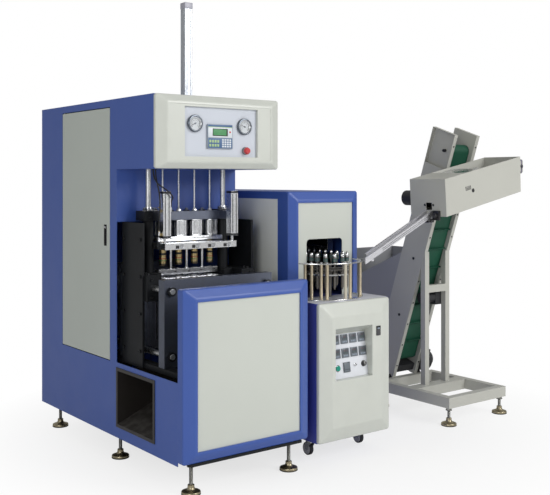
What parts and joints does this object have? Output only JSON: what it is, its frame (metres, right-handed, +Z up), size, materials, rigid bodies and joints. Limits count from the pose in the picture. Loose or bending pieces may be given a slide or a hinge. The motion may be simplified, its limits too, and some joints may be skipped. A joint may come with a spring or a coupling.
{
  "type": "blow moulding machine",
  "caption": "Semi-automatic stretch blow moulding machine with its preform oven and preform elevator, standing in a row on levelling feet and casters.",
  "frame": {"origin": "middle of the row's bounding box, on the floor under the feet", "axes": "+X along the row from the blowing unit to the feeder, +Y towards the back, +Z up"},
  "size_m": [2.644, 1.806, 2.598],
  "materials": {
    "blue_paint": "satin",
    "pale_front": "satin",
    "pale_sheet": "satin",
    "grey_sheet": "satin",
    "head_plate": "matte",
    "black_paint": "matte",
    "duct_paint": "satin",
    "gauge_case": "polished",
    "controller_case": "matte",
    "red_button": "gloss",
    "green_button": "gloss",
    "ground_steel": "polished",
    "machined_steel": "brushed",
    "dark_steel": "satin",
    "aluminium": "satin",
    "brass": "satin",
    "hose": "satin",
    "white_panel": "satin",
    "feeder_paint": "satin",
    "belt": "satin",
    "bin_paint": "satin",
    "feet": "satin",
    "caster_steel": "satin",
    "wheel_rubber": "matte",
    "motor_black": "matte"
  },
  "bodies": {
    "row": {"left_side_sheet": "blue_paint", "right_side_sheet": "blue_paint", "cabinet_wrap": "blue_paint", "machine_frame": "black_paint", "head_housing": "blue_paint", "head_bezel": "pale_front", "head_panel": "head_plate", "controller": "controller_case", "pressure_gauges": "gauge_case", "guard_frame": "blue_paint", "guard_panel": "pale_sheet", "levelling_feet": "feet", "guide_columns": "ground_steel", "stretch_cylinder": "aluminium", "crosshead": "dark_steel", "seal_cylinders": "aluminium", "side_cylinders": "aluminium", "air_hoses": "hose", "discharge_chute": "duct_paint", "oven_shell": "blue_paint", "oven_front_panel": "pale_sheet", "oven_side_cover": "grey_sheet", "control_cabinet": "blue_paint", "control_front": "pale_front", "control_panel": "white_panel", "loading_ring": "brass", "spindle_chain": "machined_steel", "heating_frame": "machined_steel", "rear_caster_forks": "caster_steel", "feeder_frame": "feeder_paint", "elevator_sides": "feeder_paint", "elevator_belt": "belt", "sorter_box": "feeder_paint", "chute_rails": "aluminium", "drive_motors": "motor_black", "storage_bin": "bin_paint"},
    "door": {"left_door": "grey_sheet"},
    "stop_button": {"stop_button": "red_button"},
    "stretch_carriage": {"stretch_rods": "machined_steel"},
    "nozzles": {"blow_nozzles": "brass"},
    "preform_holder": {"holder_plate": "aluminium", "preform_bar": "aluminium"},
    "front_clamp": {"front_platen": "dark_steel", "front_mould": "aluminium", "tie_bars": "ground_steel", "clamp_yoke": "dark_steel"},
    "rear_clamp": {"rear_platen": "dark_steel", "rear_mould": "aluminium"},
    "start_button": {"start_button": "green_button"},
    "sprocket": {"front_sprocket": "machined_steel"},
    "left_caster": {"left_caster_fork": "caster_steel"},
    "right_caster": {"right_caster_fork": "caster_steel"},
    "left_front_wheel": {"left_front_wheel": "wheel_rubber"},
    "right_front_wheel": {"right_front_wheel": "wheel_rubber"},
    "left_rear_wheel": {"left_rear_wheel": "wheel_rubber"},
    "right_rear_wheel": {"right_rear_wheel": "wheel_rubber"},
    "head_roller": {"head_roller": "machined_steel"},
    "tail_roller": {"tail_roller": "machined_steel"},
    "front_sorting_roller": {"front_sorting_roller": "machined_steel"},
    "rear_sorting_roller": {"rear_sorting_roller": "machined_steel"}
  },
  "joints": [
    {"name": "door_hinge", "type": "hinge", "parent": "row", "child": "door", "pos_m": [-1.308, 0.572, 1.28], "axis": [0, 0, 1], "range_deg": [-100, 0]},
    {"name": "stop_press", "type": "slide", "parent": "row", "child": "stop_button", "axis": [0, 1, 0], "range_m": [0, 0.005], "stiffness_N_per_m": 400, "springref_m": -0.003},
    {"name": "stretch_stroke", "type": "slide", "parent": "row", "child": "stretch_carriage", "axis": [0, 0, -1], "range_m": [0, 0.2]},
    {"name": "nozzle_stroke", "type": "slide", "parent": "row", "child": "nozzles", "axis": [0, 0, -1], "range_m": [0, 0.02]},
    {"name": "holder_stroke", "type": "slide", "parent": "row", "child": "preform_holder", "axis": [0, 0, -1], "range_m": [0, 0.012]},
    {"name": "front_clamp_stroke", "type": "slide", "parent": "row", "child": "front_clamp", "axis": [0, -1, 0], "range_m": [0, 0.11]},
    {"name": "rear_clamp_stroke", "type": "slide", "parent": "row", "child": "rear_clamp", "axis": [0, 1, 0], "range_m": [0, 0.11]},
    {"name": "start_press", "type": "slide", "parent": "row", "child": "start_button", "axis": [0, 0.9898, -0.1426], "range_m": [0, 0.004], "stiffness_N_per_m": 300, "springref_m": -0.003},
    {"name": "sprocket_turn", "type": "hinge", "parent": "row", "child": "sprocket", "pos_m": [-0.18, -0.607, 1.055], "axis": [0, 0, 1], "continuous": true},
    {"name": "left_caster_swivel", "type": "hinge", "parent": "row", "child": "left_caster", "pos_m": [-0.348, -0.642, 0.1], "axis": [0, 0, 1], "continuous": true},
    {"name": "right_caster_swivel", "type": "hinge", "parent": "row", "child": "right_caster", "pos_m": [0.043, -0.642, 0.1], "axis": [0, 0, 1], "continuous": true},
    {"name": "left_front_wheel_turn", "type": "hinge", "parent": "left_caster", "child": "left_front_wheel", "pos_m": [-0.348, -0.618, 0.0375], "axis": [1, 0, 0], "continuous": true},
    {"name": "right_front_wheel_turn", "type": "hinge", "parent": "right_caster", "child": "right_front_wheel", "pos_m": [0.043, -0.618, 0.0375], "axis": [1, 0, 0], "continuous": true},
    {"name": "left_rear_wheel_turn", "type": "hinge", "parent": "row", "child": "left_rear_wheel", "pos_m": [-0.348, 0.717, 0.0375], "axis": [1, 0, 0], "continuous": true},
    {"name": "right_rear_wheel_turn", "type": "hinge", "parent": "row", "child": "right_rear_wheel", "pos_m": [0.043, 0.717, 0.0375], "axis": [1, 0, 0], "continuous": true},
    {"name": "head_roller_turn", "type": "hinge", "parent": "row", "child": "head_roller", "pos_m": [1.0135, -0.52742, 1.77885], "axis": [1, 0, 0], "continuous": true},
    {"name": "tail_roller_turn", "type": "hinge", "parent": "row", "child": "tail_roller", "pos_m": [1.0135, -0.03442, 0.33891], "axis": [1, 0, 0], "continuous": true},
    {"name": "front_sorting_roller_turn", "type": "hinge", "parent": "row", "child": "front_sorting_roller", "pos_m": [0.509, -0.797, 1.427], "axis": [0.9792, 0, 0.2028], "continuous": true},
    {"name": "rear_sorting_roller_turn", "type": "hinge", "parent": "row", "child": "rear_sorting_roller", "pos_m": [0.509, -0.727, 1.427], "axis": [0.9792, 0, 0.2028], "continuous": true}
  ],
  "couplings": [
    {"joint": "rear_clamp_stroke", "follows": "front_clamp_stroke", "ratio": 1},
    {"joint": "tail_roller_turn", "follows": "head_roller_turn", "ratio": 1},
    {"joint": "rear_sorting_roller_turn", "follows": "front_sorting_roller_turn", "ratio": -1}
  ]
}
